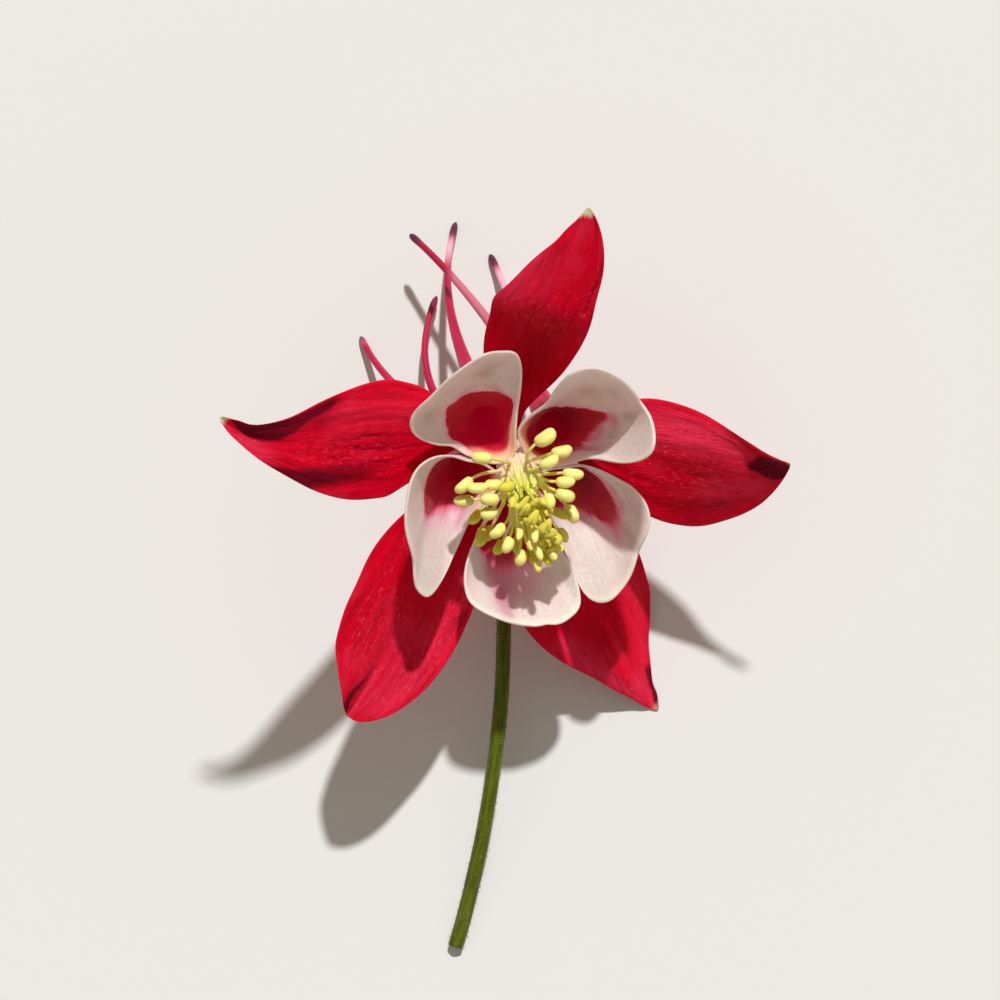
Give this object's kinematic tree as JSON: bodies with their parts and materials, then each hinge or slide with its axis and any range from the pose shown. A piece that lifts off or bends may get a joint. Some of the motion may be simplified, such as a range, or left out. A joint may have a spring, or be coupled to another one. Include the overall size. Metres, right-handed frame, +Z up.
{
  "type": "cut columbine flower",
  "caption": "Single long-spurred columbine bloom with pointed sepals, cupped petals and a brush of stamens, lying on its back on its cut stem.",
  "frame": {"origin": "middle of the bounding box, at the surface that the flower lies on", "axes": "+Z up, +Y from the stem's cut end towards the uppermost sepal, +X to the right with the bloom seen from above"},
  "size_m": [0.0716, 0.1016, 0.0562],
  "materials": {
    "stem": "matt olive green, finely downy",
    "sepal": "velvety crimson with fine lengthwise veins",
    "petal": "silky cream white cup, crimson throat and spur",
    "stamen": "powdery yellow anthers on pale filaments",
    "sheath": "papery, pale and translucent",
    "pistil": "matt pale green"
  },
  "bodies": {
    "root": {"stem": "stem", "sepal_top": "sepal", "sepal_right": "sepal", "sepal_low_right": "sepal", "sepal_low_left": "sepal", "sepal_left": "sepal", "petal_up_left": "petal", "petal_up_right": "petal", "petal_right": "petal", "petal_bottom": "petal", "petal_left": "petal", "stamens": "stamen", "staminodes": "sheath", "pistils": "pistil"}
  },
  "joints": []
}
